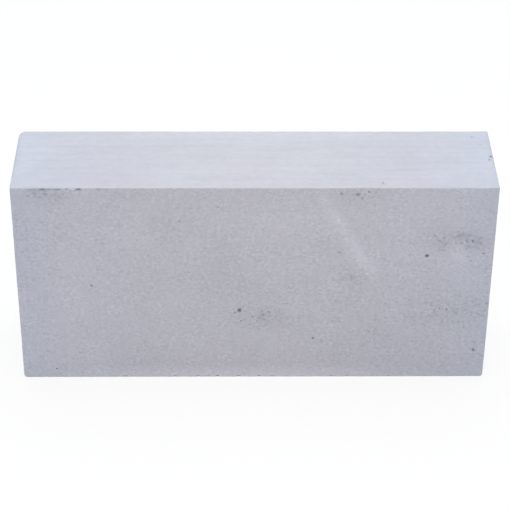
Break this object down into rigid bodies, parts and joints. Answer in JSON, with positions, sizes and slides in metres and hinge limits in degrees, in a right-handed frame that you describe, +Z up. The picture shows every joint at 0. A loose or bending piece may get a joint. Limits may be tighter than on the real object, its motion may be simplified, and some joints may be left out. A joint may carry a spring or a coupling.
{
  "type": "aerated concrete block",
  "caption": "Solid rectangular aerated concrete building block with wire-cut faces, worn arrises and a few open blow holes, standing on its bed face for laying in mortar.",
  "frame": {"origin": "centre of the bottom bed, on the surface that the block stands on", "axes": "+X along the length, +Y from the front face to the back face, +Z up"},
  "size_m": [0.44, 0.1, 0.215],
  "materials": {
    "aerated_concrete": "matte, fine-pored, wire-cut pale grey aerated concrete"
  },
  "bodies": {
    "root": {"aerated_block": "aerated_concrete"}
  },
  "joints": []
}
